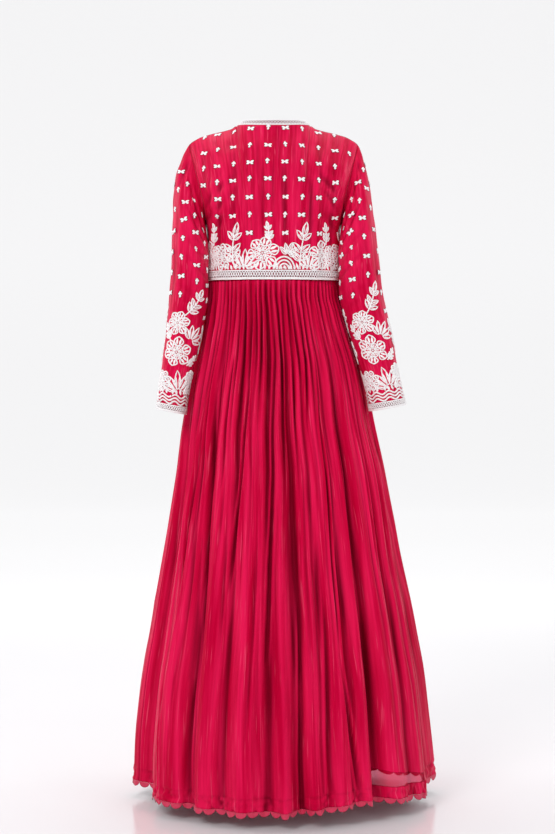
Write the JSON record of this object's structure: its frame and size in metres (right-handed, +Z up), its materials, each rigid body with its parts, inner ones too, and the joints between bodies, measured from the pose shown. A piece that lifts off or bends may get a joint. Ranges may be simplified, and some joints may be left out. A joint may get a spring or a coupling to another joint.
{
  "type": "anarkali suit",
  "caption": "Floor-length crimson anarkali dress: fitted embroidered bodice with long sleeves, lattice trims and a gathered, flared skirt with a scalloped hem.",
  "frame": {"origin": "centre of the neck, level with the points where the shoulder seams meet the neckline; the wearer holds the garment there", "axes": "+Z up, -Y is the garment's front, +X is the wearer's left"},
  "size_m": [0.6639, 0.5926, 1.4491],
  "materials": {
    "silk": "crimson silk with off-white embroidery",
    "silk_sleeve": "crimson silk with off-white embroidery",
    "skirt_silk": "crimson crinkled silk, soft sheen",
    "lattice": "off-white corded lattice trim on dark pink",
    "edging": "single-layer scalloped edging, lighter pink",
    "lining": "plain crimson lining"
  },
  "bodies": {
    "root": {"bodice_back": "silk", "bodice_front": "silk", "sleeve_left": "silk_sleeve", "sleeve_right": "silk_sleeve", "neck_band": "lattice", "waist_band": "lattice", "cuff_band_left": "lattice", "cuff_band_right": "lattice", "skirt_back": "skirt_silk", "skirt_front": "skirt_silk", "scallops_back": "edging", "scallops_front": "edging", "lining_hem": "lining", "hem_facing": "lining"}
  },
  "joints": []
}
